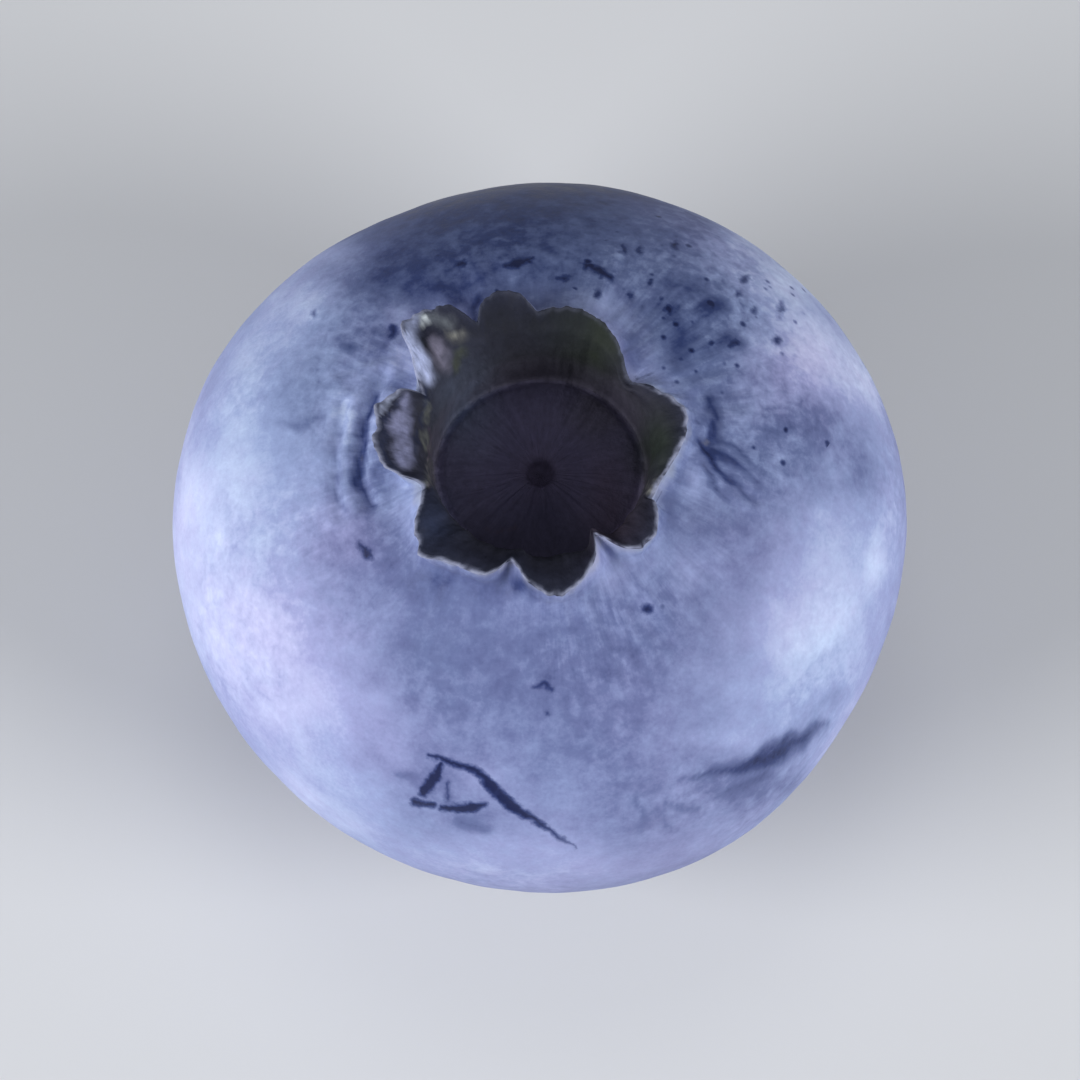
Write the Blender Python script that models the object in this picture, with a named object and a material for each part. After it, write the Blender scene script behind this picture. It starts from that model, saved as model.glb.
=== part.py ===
# A highbush blueberry as picked: one solid fruit, with its calyx crown on top and its stem scar underneath.
# Metres, +Z from the stem scar up through the crown. The origin is on the surface that the fruit rests on,
# under its middle, and +X and +Y are right and up in a view from above.

import math

import bmesh
import bpy

MM = 0.001

# The fruit's body: a squat, soft-shouldered ball
BODY_WIDTH = 20.0 * MM
WAIST_HEIGHT = 7.35 * MM  # height of the widest place
BODY_HEIGHT = 15.0 * MM  # where the shoulders would meet if there were no crown
LOWER_FULLNESS = 2.2  # 2 is an ellipse, and more is squarer
UPPER_FULLNESS = 2.15

# The underside: a flat ring that the fruit rests on, round the scar of its stalk
REST_RADIUS = 2.7 * MM
SCAR_LIP_RADIUS = 1.35 * MM
SCAR_LIP_HEIGHT = 0.1 * MM
SCAR_RADIUS = 0.95 * MM
SCAR_DEPTH = 0.55 * MM
SCAR_CORE_RADIUS = 0.4 * MM
SCAR_CORE_RISE = 0.18 * MM  # the torn core stands this far out of the scar's floor

# The crown: a short cup whose rim is drawn out into the calyx teeth
SHOULDER_RADIUS = 5.4 * MM  # where the body ends and the crown's foot begins
FOOT_RADIUS = 4.4 * MM
ROOT_RADIUS = 4.0 * MM
ROOT_RISE = 0.1 * MM
FOOT_SPREAD = 0.6  # how much further out the foot of a full-backed tooth is, as a share of its length
RIM_RADIUS = 3.35 * MM
RIM_HEIGHT = 14.8 * MM
ROOT_HALF_WALL = 0.36 * MM
EDGE_HALF_WALL = 0.3 * MM
CUP_RADIUS = 2.9 * MM
CUP_LIP_DEPTH = 0.45 * MM  # the cup's wall turns outward this far below the rim
GROOVE_RADIUS = 2.72 * MM
GROOVE_HEIGHT = 12.3 * MM
DISC_RADIUS = 2.48 * MM
DISC_HEIGHT = 12.62 * MM
DISC_CROWNING = 0.08 * MM
STYLE_PIT_RADIUS = 0.4 * MM
STYLE_PIT_DEPTH = 0.3 * MM
EASE = 0.1 * MM  # how wide the small rounded corners in the cup and in the scar are

# The calyx has five lobes, and three of them are torn into two teeth.
# Each tooth: the way it points (degrees from +X), half its width (degrees), its length, how far its tip
# leans out from upright (degrees), how blunt it is (0 comes to a point), and how full its back is: 0 stands
# free of the body, and 1 slopes straight down to it.
TEETH = (
    (8, 28, 0.75 * MM, 46, 0.0, 0.7),
    (78, 38, 0.75 * MM, 30, 0.3, 0.7),
    (104, 16, 0.85 * MM, 56, 0.2, 0.5),
    (134, 23, 1.7 * MM, 72, 0.1, 0.15),
    (178, 22, 1.1 * MM, 62, 0.8, 0.3),
    (231, 30, 1.3 * MM, 52, 0.5, 0.7),
    (277, 22, 1.25 * MM, 52, 0.2, 0.8),
    (318, 20, 0.95 * MM, 50, 0.4, 0.7),
)
TOOTH_FLANK = 1.35  # of a pointed tooth: 1 is a straight-sided triangle, and more is rounder
TOOTH_TIP = 0.9
BLUNT_FLANK = 1.3  # what bluntness adds to the flank, and takes from the tip
BLUNT_TIP = 0.35
SINUS_LEAN = 6  # lean of the low rim between two teeth, in degrees

# Where the rim is folded inwards: degrees from +X, how wide in degrees, and how far.
FOLDS = (
    (40, 18, 0.38 * MM),
    (-56, 6, 0.45 * MM),
    (-100, 5, 0.15 * MM),
)

# The berry isn't quite round: slow waves run round it, and it is pressed flat where it met a neighbour.
# Each wave: how many to a turn, its share of the radius, and where it is highest (degrees from +X).
WAVES = (
    (2, 0.013, 16),
    (3, 0.006, 50),
    (5, 0.004, 12),
)
PRESSED_AT = -30  # degrees from +X
PRESSED_WIDTH = 24  # degrees
PRESSED_SHARE = 0.014
SHOULDER_TILT = 0.16 * MM  # one shoulder stands this much higher than the middle
SHOULDER_TILT_AT = 215  # degrees from +X
WAVES_FROM = 0.2 * MM  # heights between which the waves grow from nothing to their full size
WAVES_FULL = 4.5 * MM

# How finely the surface is cut
SIDES = 90
LOWER_RINGS = 11
UPPER_RINGS = 10
SAME_PLACE = 0.001 * MM
TINY = 1e-9
SHARP_EDGE = 50  # degrees

SKIN_COLOUR = (0.155, 0.185, 0.36, 1.0)
SKIN_ROUGHNESS = 0.62


def smooth_step(value, low, high):
    share = min(max((value - low) / (high - low), 0.0), 1.0)
    return share * share * (3 - 2 * share)


def turn_between(a, b):
    # The shorter way from b to a, in degrees
    return (a - b + 180) % 360 - 180


def upper_height_at(radius):
    # Height of the upper body at this distance from the axis
    share = 1 - (radius / (BODY_WIDTH / 2)) ** UPPER_FULLNESS
    return WAIST_HEIGHT + (BODY_HEIGHT - WAIST_HEIGHT) * share ** (1 / UPPER_FULLNESS)


def lower_height_at(radius):
    # Height of the lower body, which comes down to nothing at the edge of the flat ring
    half = BODY_WIDTH / 2
    share = max(1 - (radius / half) ** LOWER_FULLNESS, 0.0) ** (1 / LOWER_FULLNESS)
    ring_share = (1 - (REST_RADIUS / half) ** LOWER_FULLNESS) ** (1 / LOWER_FULLNESS)
    return WAIST_HEIGHT * (1 - share / ring_share)


def scar_outline():
    # (radius, height) from the middle of the scar out to the edge of the flat ring
    return [
        (0.0, SCAR_DEPTH - SCAR_CORE_RISE),
        (SCAR_CORE_RADIUS, SCAR_DEPTH - SCAR_CORE_RISE),
        (SCAR_RADIUS - EASE, SCAR_DEPTH),
        (SCAR_RADIUS, SCAR_DEPTH - EASE),
        ((SCAR_RADIUS + SCAR_LIP_RADIUS) / 2, SCAR_LIP_HEIGHT),
        (SCAR_LIP_RADIUS, 0.0),
        (REST_RADIUS, 0.0),
    ]


def body_outline():
    # (radius, height) from the edge of the flat ring, round the waist, to the crown's shoulder
    half = BODY_WIDTH / 2
    first = math.asin(REST_RADIUS / half)
    last = math.asin(SHOULDER_RADIUS / half)
    outline = []
    for step in range(1, LOWER_RINGS + 1):
        radius = half * math.sin(first + (math.pi / 2 - first) * step / LOWER_RINGS)
        outline.append((radius, lower_height_at(radius)))
    for step in range(1, UPPER_RINGS + 1):
        radius = half * math.sin(math.pi / 2 - (math.pi / 2 - last) * step / UPPER_RINGS)
        outline.append((radius, upper_height_at(radius)))
    return outline


def tooth_at(degrees):
    # (length, lean in degrees, fullness of the back) of the calyx in this direction. A tooth leans less the
    # lower it is, and the longer of two teeth that meet has more say.
    length = leaned = filled = 0.0
    weight = TINY
    for middle, half_width, tooth_length, tooth_lean, blunt, fullness in TEETH:
        away = abs(turn_between(degrees, middle)) / half_width
        if away < 1:
            share = (1 - away ** (TOOTH_FLANK + BLUNT_FLANK * blunt)) ** (TOOTH_TIP - BLUNT_TIP * blunt)
            length = max(length, tooth_length * share)
            leaned += (tooth_lean - SINUS_LEAN) * share**4
            filled += fullness * share**3
            weight += share**3
    return length, SINUS_LEAN + leaned / weight, filled / weight


def rim_radius_at(degrees):
    # The rim is round but for its folds
    radius = RIM_RADIUS
    for middle, wide, deep in FOLDS:
        radius -= deep * math.exp(-((turn_between(degrees, middle) / wide) ** 2))
    return radius


def crown_outline(degrees):
    # (radius, height) from the crown's foot over its rim, in this direction
    length, lean, fullness = tooth_at(degrees)
    rim_radius = rim_radius_at(degrees)
    along = (math.sin(math.radians(lean)), math.cos(math.radians(lean)))
    outward = (along[1], -along[0])

    def wall(up, out):
        # A point on the tooth: up its length from the rim's root, and out from its middle
        return (
            rim_radius + along[0] * up + outward[0] * out,
            RIM_HEIGHT + along[1] * up + outward[1] * out,
        )

    middle_half_wall = (ROOT_HALF_WALL + EDGE_HALF_WALL) / 2
    edge_corner = 0.85 * EDGE_HALF_WALL
    edge_rounding = 0.6 * EDGE_HALF_WALL
    spread = FOOT_SPREAD * fullness * length
    foot = (FOOT_RADIUS + spread, upper_height_at(FOOT_RADIUS + spread))
    root = (ROOT_RADIUS + spread, upper_height_at(ROOT_RADIUS + spread) + ROOT_RISE)
    free_back = wall(length / 2, middle_half_wall)
    edge = wall(length, edge_corner)
    back = [free + fullness * ((low + high) / 2 - free) for free, low, high in zip(free_back, root, edge)]
    return [
        foot,
        root,
        tuple(back),
        edge,
        wall(length + edge_rounding, 0.0),
        wall(length, -edge_corner),
        wall(length / 2, -middle_half_wall),
    ]


def cup_outline():
    # (radius, height) down the inside of the cup, over its disc and into the pit that the style left
    return [
        (CUP_RADIUS + EASE, RIM_HEIGHT - CUP_LIP_DEPTH),
        (CUP_RADIUS, (RIM_HEIGHT + GROOVE_HEIGHT) / 2),
        (CUP_RADIUS - EASE / 2, GROOVE_HEIGHT + EASE),
        (GROOVE_RADIUS, GROOVE_HEIGHT),
        (DISC_RADIUS + EASE, GROOVE_HEIGHT + EASE),
        (DISC_RADIUS - EASE, DISC_HEIGHT - EASE / 2),
        (0.66 * DISC_RADIUS, DISC_HEIGHT + DISC_CROWNING),
        (1.8 * STYLE_PIT_RADIUS, DISC_HEIGHT + DISC_CROWNING),
        (STYLE_PIT_RADIUS, DISC_HEIGHT),
        (0.7 * STYLE_PIT_RADIUS, DISC_HEIGHT - STYLE_PIT_DEPTH),
        (0.0, DISC_HEIGHT - STYLE_PIT_DEPTH),
    ]


def outline_at(degrees):
    # The whole outline in this direction, from the middle of the scar to the middle of the cup
    return scar_outline() + body_outline() + crown_outline(degrees) + cup_outline()


def place(radius, height, degrees):
    # The point at this radius and height, moved by the waves, the pressed flat and the higher shoulder
    grown = smooth_step(height, WAVES_FROM, WAVES_FULL)
    factor = sum(share * math.cos(math.radians(count * (degrees - peak))) for count, share, peak in WAVES)
    factor -= PRESSED_SHARE * math.exp(-((turn_between(degrees, PRESSED_AT) / PRESSED_WIDTH) ** 2))
    tilt = SHOULDER_TILT * grown * radius / (BODY_WIDTH / 2)
    moved = radius * (1 + grown * factor)
    return (
        moved * math.cos(math.radians(degrees)),
        moved * math.sin(math.radians(degrees)),
        height + tilt * math.cos(math.radians(degrees - SHOULDER_TILT_AT)),
    )


def spin_outline(mesh, station):
    # A plain turned body. Each point remembers its station, its place along the outline.
    points = []
    for number, (radius, height) in enumerate(outline_at(0)):
        points.append(mesh.verts.new((radius, 0.0, height)))
        points[-1][station] = number
    edges = [mesh.edges.new(pair) for pair in zip(points, points[1:])]
    whole_turn = {"cent": (0, 0, 0), "axis": (0, 0, 1), "angle": math.tau}
    bmesh.ops.spin(mesh, geom=points + edges, steps=SIDES, use_merge=True, **whole_turn)
    bmesh.ops.remove_doubles(mesh, verts=mesh.verts[:], dist=SAME_PLACE)


def build_blueberry():
    mesh = bmesh.new()
    station = mesh.verts.layers.int.new("station")
    spin_outline(mesh, station)
    outlines = [outline_at(360 * side / SIDES) for side in range(SIDES)]
    for point in mesh.verts:
        side = round(math.atan2(point.co.y, point.co.x) / math.tau * SIDES) % SIDES
        radius, height = outlines[side][point[station]]
        point.co = place(radius, height, 360 * side / SIDES)
    bmesh.ops.triangulate(mesh, faces=mesh.faces[:])
    bmesh.ops.recalc_face_normals(mesh, faces=mesh.faces[:])
    data = bpy.data.meshes.new("blueberry")
    mesh.to_mesh(data)
    mesh.free()
    data.shade_smooth()
    data.set_sharp_from_angle(angle=math.radians(SHARP_EDGE))
    berry = bpy.data.objects.new("blueberry", data)
    bpy.context.scene.collection.objects.link(berry)
    return berry


def skin_material():
    material = bpy.data.materials.new("bloomed_skin")
    material.use_nodes = True
    shader = material.node_tree.nodes["Principled BSDF"]
    shader.inputs["Base Color"].default_value = SKIN_COLOUR
    shader.inputs["Roughness"].default_value = SKIN_ROUGHNESS
    shader.inputs["Metallic"].default_value = 0.0
    return material


for old in list(bpy.data.objects):
    bpy.data.objects.remove(old, do_unlink=True)
blueberry = build_blueberry()
blueberry.data.materials.append(skin_material())
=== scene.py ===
import math
from functools import reduce

import bpy
import numpy as np
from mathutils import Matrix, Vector, noise


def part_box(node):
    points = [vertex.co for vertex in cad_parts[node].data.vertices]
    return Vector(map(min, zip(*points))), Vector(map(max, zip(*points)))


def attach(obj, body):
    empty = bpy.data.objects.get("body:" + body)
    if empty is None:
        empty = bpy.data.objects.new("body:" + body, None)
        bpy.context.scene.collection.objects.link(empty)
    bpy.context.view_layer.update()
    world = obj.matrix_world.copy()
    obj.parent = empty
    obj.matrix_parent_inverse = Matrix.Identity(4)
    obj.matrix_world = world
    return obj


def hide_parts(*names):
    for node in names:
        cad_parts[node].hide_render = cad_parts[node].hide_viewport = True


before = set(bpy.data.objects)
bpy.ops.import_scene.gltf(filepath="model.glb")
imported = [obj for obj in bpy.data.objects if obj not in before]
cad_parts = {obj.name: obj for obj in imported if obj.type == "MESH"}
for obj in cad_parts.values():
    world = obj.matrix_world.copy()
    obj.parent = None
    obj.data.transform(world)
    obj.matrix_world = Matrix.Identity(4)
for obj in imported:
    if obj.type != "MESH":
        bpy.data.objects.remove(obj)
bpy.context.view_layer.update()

mm = 0.001
bodyLow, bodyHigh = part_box("blueberry")
halfWidth = (bodyHigh.x - bodyLow.x + bodyHigh.y - bodyLow.y) / 4 / mm  # all shapes below are in mm
height = bodyHigh.z / mm

# the camera looks down on the crown, along +Y
camera = {
    "elevation": 71.3,
    "distance": 160.0,
    "frameWidth": 29.7,  # what the picture shows across, at the berry
    "lookAt": (0.0, 0.0, 0.444 * height),
}


def smoothStep(value, low, high):
    share = np.clip((value - low) / (high - low), 0, 1)
    return share * share * (3 - 2 * share)


def softBand(value, start, end):
    # 1 after the first soft step and before the second
    return smoothStep(value, *start) * (1 - smoothStep(value, *end))


def turnBetween(a, b):
    return (a - b + 180) % 360 - 180


def noiseField(places, size, octaves=3, seed=0):
    # Blender's own noise, about -1 to 1, in blotches of this size
    shift = Vector((7.31, 3.17, 5.53)) * seed
    flat = places.reshape(-1, 3)
    values = [noise.fractal(Vector(place) / size + shift, 1.0, 2.0, octaves) for place in flat]
    return np.array(values).reshape(places.shape[:-1])


def direction(turn, rise):
    # the direction at this turn from +X and this height, in degrees
    turn, rise = math.radians(turn), math.radians(rise)
    return math.cos(turn) * math.cos(rise), math.sin(turn) * math.cos(rise), math.sin(rise)


def onCircle(turned):
    # places on a circle, where noise runs round without a seam
    turn = np.radians(turned)
    return np.stack([np.cos(turn), np.sin(turn), np.zeros_like(turn)], axis=-1)


def smoothThrough(keys, steps):
    # a smooth curve through the keys, with that many rings in each stretch
    padded = np.concatenate([[2 * keys[0] - keys[1]], keys, [2 * keys[-1] - keys[-2]]])
    rings = []
    for number, count in enumerate(steps):
        p0, p1, p2, p3 = padded[number : number + 4]
        for t in np.arange(count) / count:
            bend = (2 * p0 - 5 * p1 + 4 * p2 - p3) * t**2 + (3 * p1 - p0 - 3 * p2 + p3) * t**3
            rings.append(0.5 * (2 * p1 + (p2 - p0) * t + bend))
    rings.append(keys[-1])
    return np.array(rings)


# the berry's outline, turned about the axis

sides = 440
degrees = np.arange(sides) * 360 / sides

# the squat round body, a little out of round
body = {
    "waist": 0.4633 * height,  # height of the widest place
    "shoulders": 0.9456 * height,  # where the top would be without a crown
    "lowerFullness": 2.2,  # 2 is an ellipse, more is squarer
    "upperFullness": 2.15,
    # how many waves go round it, how high they are as a share of the radius, and where one peaks
    "waves": ((2, 0.013, 16), (3, 0.006, 50), (5, 0.004, 12)),
    # where it is pressed, how wide, and how far in as a share of the radius, or out below 0
    "pressed": ((-30, 24, 0.014), (222, 38, 0.026), (134, 24, -0.006)),
    "tilt": 0.16,  # one shoulder stands higher
    "tiltAt": 215,
    "unevenFrom": (0.2, 4.5),  # the heights between which all of that fades in
    "lowerRings": 40,
    "upperRings": 66,
}

# the torn scar of the stalk, in the flat ring that the berry rests on
scar = {
    "restRadius": 2.7,
    "lipRadius": 1.35,
    "lipHeight": 0.1,
    "radius": 0.95,
    "depth": 0.55,
    "coreRadius": 0.4,
    "coreRise": 0.18,
    "ragged": 0.09,  # how uneven its torn wall is, as a share of its radius
    "raggedWidth": 0.3,
    "raggedAt": ((0.5, 0.9), (1.15, 1.4)),  # the radii between which that starts, and ends
    "below": 1.0,  # all of it lies lower than this
}

# the calyx crown: a low rim drawn out into teeth, round a shallow cup with a disc for its floor
crown = {
    "shoulder": 5.4,  # the radii where the body ends, of the crown's foot and of the teeth's roots
    "foot": 4.4,
    "root": 4.0,
    "rootRise": 0.1,
    "footSpread": 0.6,  # how much further out they are at a full-backed tooth, as a share of its length
    "rim": 3.35,
    "rimHeight": 0.933 * height,
    "rootHalfWall": 0.27,
    "edgeHalfWall": 0.06,
    "curl": 0.35,  # how much more a tooth leans at its tip than in its middle
    "sinusLean": 6,  # the lean of the low rim between two teeth
    # where each tooth points, half its width, its length, its lean, how blunt it is, how full its back is
    "teeth": (
        (8, 28, 0.75, 46, 0.15, 0.7),
        (76, 38, 0.68, 37, 0.3, 0.7),
        (105, 18, 1.3, 56, 0.2, 0.5),
        (134, 23, 1.7, 72, 0.1, 0.15),
        (178, 21.5, 1.12, 62, 1.2, 0.3),
        (228, 26, 1.7, 58, 0.0, 0.7),  # this and the next are one tooth with a corner
        (243, 17, 1.2, 54, 0.6, 0.7),
        (275.5, 25.5, 1.3, 60, 0.15, 0.8),
        (316, 16.5, 0.9, 55, 0.8, 0.7),
    ),
    # where the rim is folded inwards, how wide and how far
    "folds": ((38, 14, 0.38), (-60, 4.5, 0.42), (-100, 4, 0.15)),
    "flank": (1.35, 1.3),  # of a pointed tooth, and what bluntness adds: 1 is straight and more is rounder
    "tip": (0.9, -0.35),  # the same, but 1 is sharp and less is rounder
    "wallTaper": 0.8,  # below 1 the wall does most of its thinning low down
    "wallSink": 0.9,  # how much lower the wall stands where it is thick
    "ragged": 0.15,  # how uneven the torn edges are, as a share of the tooth, and in mm all round
    "raggedRim": 0.04,
    "raggedWidth": 0.11,
    "nicks": 0.03,
    "nickWidth": 0.035,
    "cup": 2.9,
    "groove": 2.72,
    "grooveHeight": 0.782 * height,
    "disc": 2.48,
    "discHeight": 0.7956 * height,
    "pit": 0.4,
    "pitDepth": 0.3,
}


def upperHeight(radius):
    share = 1 - (radius / halfWidth) ** body["upperFullness"]
    return body["waist"] + (body["shoulders"] - body["waist"]) * share ** (1 / body["upperFullness"])


def lowerHeight(radius):
    power = body["lowerFullness"]
    share = np.maximum(1 - (radius / halfWidth) ** power, 0) ** (1 / power)
    ringShare = (1 - (scar["restRadius"] / halfWidth) ** power) ** (1 / power)
    return body["waist"] * (1 - share / ringShare)


def scarRings():
    radius, depth = scar["radius"], scar["depth"]
    floor = depth - scar["coreRise"]
    middle = (scar["lipRadius"] + scar["restRadius"]) / 2
    keys = [
        (0.0, floor),
        (0.6 * scar["coreRadius"], floor - 0.02),
        (scar["coreRadius"], floor + 0.02),
        (0.62 * radius, depth - 0.02),
        (0.88 * radius, depth),
        (radius, depth - 0.12),
        (1.1 * radius, scar["lipHeight"] + 0.12),
        (1.24 * radius, scar["lipHeight"]),
        (scar["lipRadius"], 0.0),
        (middle, 0.0),
        (scar["restRadius"], 0.0),
    ]
    return np.maximum(smoothThrough(np.array(keys), [2, 2, 3, 3, 2, 2, 2, 2, 4, 4]), 0)


def bodyRings():
    first = math.asin(scar["restRadius"] / halfWidth)
    last = math.asin(crown["shoulder"] / halfWidth)
    lower = halfWidth * np.sin(np.linspace(first, math.pi / 2, body["lowerRings"] + 1)[1:])
    upper = halfWidth * np.sin(np.linspace(math.pi / 2, last, body["upperRings"] + 1)[1:-1])
    heights = np.concatenate([lowerHeight(lower), upperHeight(upper)])
    return np.stack([np.concatenate([lower, upper]), heights], axis=1)


def teethRound(degrees):
    # length, lean and fullness of the back, all round the crown
    length, leaned, filled = (np.zeros_like(degrees) for each in range(3))
    weight = np.full_like(degrees, 1e-9)
    for middle, halfTooth, toothLength, toothLean, blunt, fullness in crown["teeth"]:
        away = np.abs(turnBetween(degrees, middle)) / halfTooth
        flank, tip = (usual + more * blunt for usual, more in (crown["flank"], crown["tip"]))
        share = np.maximum(1 - away**flank, 0) ** tip
        length = np.maximum(length, toothLength * share)
        leaned += (toothLean - crown["sinusLean"]) * share**4
        filled += fullness * share**3
        weight += share**3
    torn = noiseField(onCircle(degrees), crown["raggedWidth"], seed=4)
    nicked = noiseField(onCircle(degrees), crown["nickWidth"], octaves=2, seed=23)
    lean = np.radians(crown["sinusLean"] + leaned / weight)
    ragged = length * (1 + crown["ragged"] * torn) + crown["raggedRim"] * torn + crown["nicks"] * nicked
    return ragged, lean, filled / weight


def crownRings():
    length, lean, fullness = teethRound(degrees)
    leanStart = lean * (1 - crown["curl"])
    leanTurn = np.maximum(2 * lean * crown["curl"], 1e-4)
    rim = np.full_like(degrees, crown["rim"])
    for middle, wide, deep in crown["folds"]:
        rim -= deep * np.exp(-((turnBetween(degrees, middle) / wide) ** 2))

    def wall(up, side):
        # a place on the tooth's outer (1) or inner (-1) face, up its length from 0 to 1
        now = leanStart + leanTurn * up
        thinner = (crown["rootHalfWall"] - crown["edgeHalfWall"]) * up ** crown["wallTaper"]
        thick = crown["rootHalfWall"] - thinner
        sunk = crown["wallSink"] * thick**2
        radius = rim + length * (np.cos(leanStart) - np.cos(now)) / leanTurn
        level = crown["rimHeight"] + length * (np.sin(now) - np.sin(leanStart)) / leanTurn
        return np.array([radius + side * thick * np.cos(now), level - side * thick * np.sin(now) - sunk])

    def onBody(radius, rise):
        spread = radius + crown["footSpread"] * fullness * length
        return np.array([spread, upperHeight(spread) + rise])

    def backed(up):
        # the tooth's back, filled out towards a straight slope down to its root
        slope = root + (wall(1.0, 1) - root) * up
        return wall(up, 1) + fullness * (slope - wall(up, 1))

    def ring(radius, level):
        return np.array([np.full_like(degrees, radius), np.full_like(degrees, level)])

    root = onBody(crown["root"], crown["rootRise"])
    groove, disc = crown["grooveHeight"], crown["discHeight"]
    keys = [
        ring(crown["shoulder"], upperHeight(crown["shoulder"])),
        onBody(crown["foot"], 0.01),
        root,
        backed(0.25),
        backed(0.6),
        wall(0.92, 1),
        wall(1.0, 0),
        wall(0.92, -1),
        wall(0.5, -1),
        wall(0.1, -1),
        ring(crown["cup"] + 0.06, crown["rimHeight"] - 0.6),
        ring(crown["cup"], (crown["rimHeight"] + groove) / 2),
        ring(crown["cup"] - 0.05, groove + 0.12),
        ring(crown["groove"], groove),
        ring(crown["disc"] + 0.08, groove + 0.12),
        ring(crown["disc"] - 0.15, disc - 0.03),
        ring(0.66 * crown["disc"], disc + 0.08),
        ring(1.8 * crown["pit"], disc + 0.07),
        ring(crown["pit"], disc - 0.02),
        ring(0.65 * crown["pit"], disc - crown["pitDepth"]),
        ring(0.0, disc - crown["pitDepth"] - 0.02),
    ]
    steps = [6, 4, 4, 4, 4, 3, 3, 5, 4, 5, 6, 5, 3, 3, 4, 7, 8, 4, 3, 2]
    edgeRing = sum(steps[:6])
    grooveRing = sum(steps[:13])
    return smoothThrough(np.array(keys), steps), edgeRing, grooveRing


def tornScar(radii, levels):
    # what the radii are multiplied by, to make the scar's wall uneven
    torn = noiseField(onCircle(degrees), scar["raggedWidth"], seed=25)
    near = softBand(radii, *scar["raggedAt"]) * (levels < scar["below"])
    return 1 + scar["ragged"] * torn * near


def allRound(rings):
    return np.repeat(rings[:, :, None], sides, axis=2)


def placed(radius, level):
    # turns the outline about the axis, with the waves, the pressed places and the higher shoulder
    grown = smoothStep(level, *body["unevenFrom"])
    turn = np.radians(degrees)
    factor = np.zeros(sides)
    for count, share, peak in body["waves"]:
        factor += share * np.cos(np.radians(count * (degrees - peak)))
    for middle, wide, share in body["pressed"]:
        factor -= share * np.exp(-((turnBetween(degrees, middle) / wide) ** 2))
    moved = radius * (1 + grown * factor)
    lifted = body["tilt"] * grown * radius / halfWidth * np.cos(turn - math.radians(body["tiltAt"]))
    return np.stack([moved * np.cos(turn), moved * np.sin(turn), level + lifted], axis=-1)


def outwardFrom(places):
    # which way the surface faces at each place
    alongRings = np.gradient(places, axis=0)
    roundRings = np.roll(places, -1, axis=1) - np.roll(places, 1, axis=1)
    facing = np.cross(roundRings, alongRings)
    return facing / np.maximum(np.linalg.norm(facing, axis=-1, keepdims=True), 1e-12)


scarRingCount = int(np.argmax(scarRings()[:, 0] >= scar["lipRadius"]))
crownPart, edgeRing, grooveRing = crownRings()
lowerPart = np.concatenate([scarRings(), bodyRings()])
outline = np.concatenate([allRound(lowerPart), crownPart])
outline[:, 0] *= tornScar(outline[:, 0], outline[:, 1])
edgeRing += len(lowerPart)
grooveRing += len(lowerPart)
radii, levels = outline[:, 0], outline[:, 1]
ringCount = len(outline)
places = placed(radii, levels)
outward = outwardFrom(places)
print("outline:", ringCount, "rings of", sides)


# what each place on the surface is

stretches = np.linalg.norm(np.diff(places, axis=0), axis=-1)
alongSurface = np.concatenate([np.zeros((1, sides)), np.cumsum(stretches, axis=0)])
fromEdge = alongSurface - alongSurface[edgeRing]  # mm, inside the crown above 0 and outside it below
ringNumbers = np.arange(ringCount)[:, None]
insideCrown = ringNumbers > edgeRing
cupPlace = np.where(
    ringNumbers <= grooveRing,
    (ringNumbers - edgeRing) / (grooveRing - edgeRing),
    1 + (ringNumbers - grooveRing) / (ringCount - 1 - grooveRing),
)  # 0 at the edge, 1 in the groove and 2 in the middle of the disc
cupPlace = np.broadcast_to(np.where(insideCrown, cupPlace, 0.0), (ringCount, sides))
upperSide = smoothStep(levels, 0.2, 1.2)  # 0 on the ring that it rests on


def asSeen(places, turn, elevation):
    # where a camera on that side sees each place, in mm right and up of the middle, and how squarely
    back = np.array(direction(turn - 90, elevation))
    right = np.array(direction(turn, 0))
    up = np.cross(back, right)
    fromMiddle = places - np.array(camera["lookAt"])
    nearer = camera["distance"] / (camera["distance"] - fromMiddle @ back)
    towards = back * camera["distance"] - fromMiddle
    towards /= np.linalg.norm(towards, axis=-1, keepdims=True)
    return (fromMiddle @ right) * nearer, (fromMiddle @ up) * nearer, np.sum(outward * towards, axis=-1)


farOff = 9.0  # mm, further than any mark reaches
backView = (165, 15)  # the turn and elevation from which the far side's marks are laid out


def outOfSight(squarely):
    # mm to add to how far a place is from a mark, so that marks end a little past what is seen
    return farOff * smoothStep(-squarely, 0.0, 0.35)


seenRight, seenUp, seenSquarely = asSeen(places, 0, camera["elevation"])
hidden = outOfSight(seenSquarely)
inSight = smoothStep(seenSquarely, -0.5, 0.05)
backRight, backUp, backSquarely = asSeen(places, *backView)
backHidden = np.where(insideCrown, farOff, outOfSight(backSquarely) + farOff * inSight)


def patches(around):
    # adds up soft patches: where, how wide and how tall, in mm as seen, and how much
    total = np.zeros((ringCount, sides))
    for right, up, wide, tall, amount in around:
        away = ((seenRight - right) / wide) ** 2 + ((seenUp - up) / tall) ** 2
        total += amount * np.exp(-away)
    return total * inSight


def fromLine(right, up, line):
    # how far each place is outside a line of changing half width
    nearest = np.full((ringCount, sides), 99.0)
    for (x0, y0, half0), (x1, y1, half1) in zip(line, line[1:]):
        dx, dy = x1 - x0, y1 - y0
        share = np.clip(((right - x0) * dx + (up - y0) * dy) / (dx * dx + dy * dy), 0, 1)
        away = np.hypot(right - x0 - share * dx, up - y0 - share * dy)
        nearest = np.minimum(nearest, away - half0 - share * (half1 - half0))
    return nearest


def rubbedAway(right, up, unseen, rubs):
    # soft rubs in the bloom, with uneven edges
    right = right + 0.14 * noiseField(places, 0.7, seed=11)
    up = up + 0.14 * noiseField(places, 0.7, seed=12)
    total = np.zeros((ringCount, sides))
    for amount, soft, *lines in rubs:
        for line in lines:
            share = 1 - smoothStep(fromLine(right, up, line) + unseen, -soft, soft)
            total = np.maximum(total, amount * share)
    return total


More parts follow.
